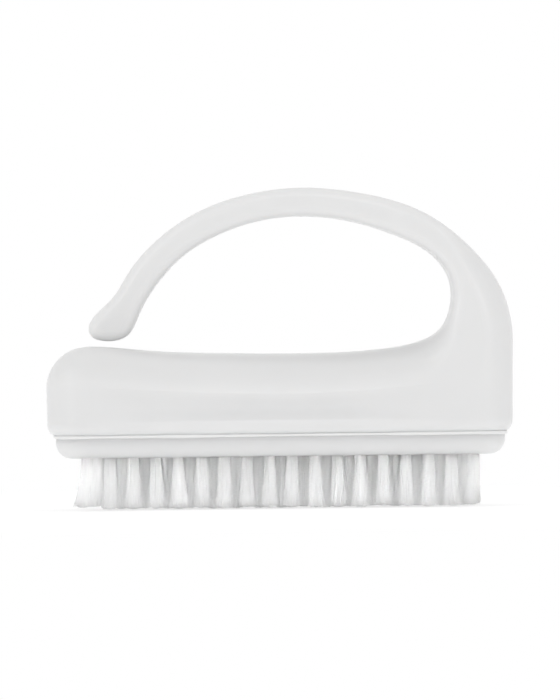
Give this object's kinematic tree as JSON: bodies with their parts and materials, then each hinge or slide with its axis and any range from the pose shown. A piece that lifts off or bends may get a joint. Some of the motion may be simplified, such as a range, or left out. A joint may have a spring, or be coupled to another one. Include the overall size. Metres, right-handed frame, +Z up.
{
  "type": "nail brush",
  "caption": "Small hand brush for nails: a translucent moulded body with an open hook handle over it and a plate of short white tufts underneath.",
  "frame": {"origin": "on the plane of the bristle tips, under the centre of the brush", "axes": "+X along the brush towards the end where the handle rises, +Y across it, +Z up from the bristle tips to the handle"},
  "size_m": [0.095, 0.038, 0.0653],
  "materials": {
    "shell_plastic": "natural translucent polypropylene, moulded, satin gloss",
    "plate_plastic": "natural translucent polypropylene, moulded",
    "bristle_nylon": "white nylon filament, cut and rounded tips",
    "anchor_wire": "flat drawn wire, nickel silver"
  },
  "bodies": {
    "root": {"handle_shell": "shell_plastic", "bristle_plate": "plate_plastic", "tuft_column_01": "bristle_nylon", "tuft_column_02": "bristle_nylon", "tuft_column_03": "bristle_nylon", "tuft_column_04": "bristle_nylon", "tuft_column_05": "bristle_nylon", "tuft_column_06": "bristle_nylon", "tuft_column_07": "bristle_nylon", "tuft_column_08": "bristle_nylon", "tuft_column_09": "bristle_nylon", "tuft_column_10": "bristle_nylon", "tuft_column_11": "bristle_nylon", "tuft_column_12": "bristle_nylon", "tuft_column_13": "bristle_nylon", "tuft_column_14": "bristle_nylon", "tuft_column_15": "bristle_nylon", "tuft_column_16": "bristle_nylon", "tuft_column_17": "bristle_nylon", "tuft_column_18": "bristle_nylon", "anchor_column_01": "anchor_wire", "anchor_column_02": "anchor_wire", "anchor_column_03": "anchor_wire", "anchor_column_04": "anchor_wire", "anchor_column_05": "anchor_wire", "anchor_column_06": "anchor_wire", "anchor_column_07": "anchor_wire", "anchor_column_08": "anchor_wire", "anchor_column_09": "anchor_wire", "anchor_column_10": "anchor_wire", "anchor_column_11": "anchor_wire", "anchor_column_12": "anchor_wire", "anchor_column_13": "anchor_wire", "anchor_column_14": "anchor_wire", "anchor_column_15": "anchor_wire", "anchor_column_16": "anchor_wire", "anchor_column_17": "anchor_wire", "anchor_column_18": "anchor_wire"}
  },
  "joints": []
}
